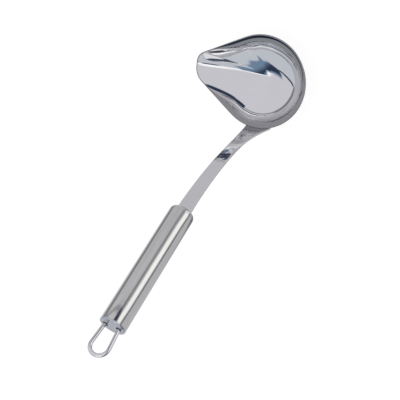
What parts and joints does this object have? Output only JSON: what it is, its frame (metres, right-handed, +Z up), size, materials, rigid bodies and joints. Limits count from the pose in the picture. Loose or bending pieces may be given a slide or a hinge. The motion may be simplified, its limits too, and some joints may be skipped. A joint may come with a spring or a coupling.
{
  "type": "soup ladle",
  "caption": "Soup ladle with an oval bowl drawn out into a side pouring spout, a flat arched neck, a round tube handle and a swinging wire hanging loop.",
  "frame": {"origin": "centre of the flat of the bowl's base", "axes": "+Z up, square to the level rim; +X from the bowl towards the handle; the spout points to -Y"},
  "size_m": [0.2143, 0.1254, 0.2929],
  "materials": {
    "polished_steel": "mirror polished stainless steel",
    "weld_steel": "dull spot weld marks",
    "brushed_steel": "satin, brushed lengthwise",
    "cap_steel": "smooth satin",
    "wire_steel": "bright drawn wire"
  },
  "bodies": {
    "ladle": {"bowl": "polished_steel", "neck": "polished_steel", "neck_welds": "weld_steel", "handle_tube": "brushed_steel", "front_cap": "brushed_steel", "tail_cap": "cap_steel"},
    "loop": {"hanging_loop": "wire_steel"}
  },
  "joints": [
    {"name": "loop_swing", "type": "hinge", "parent": "ladle", "child": "loop", "pos_m": [0.14743, 0, 0.26499], "axis": [0.223, 0.9659, -0.1314], "range_deg": [-15, 15]}
  ]
}
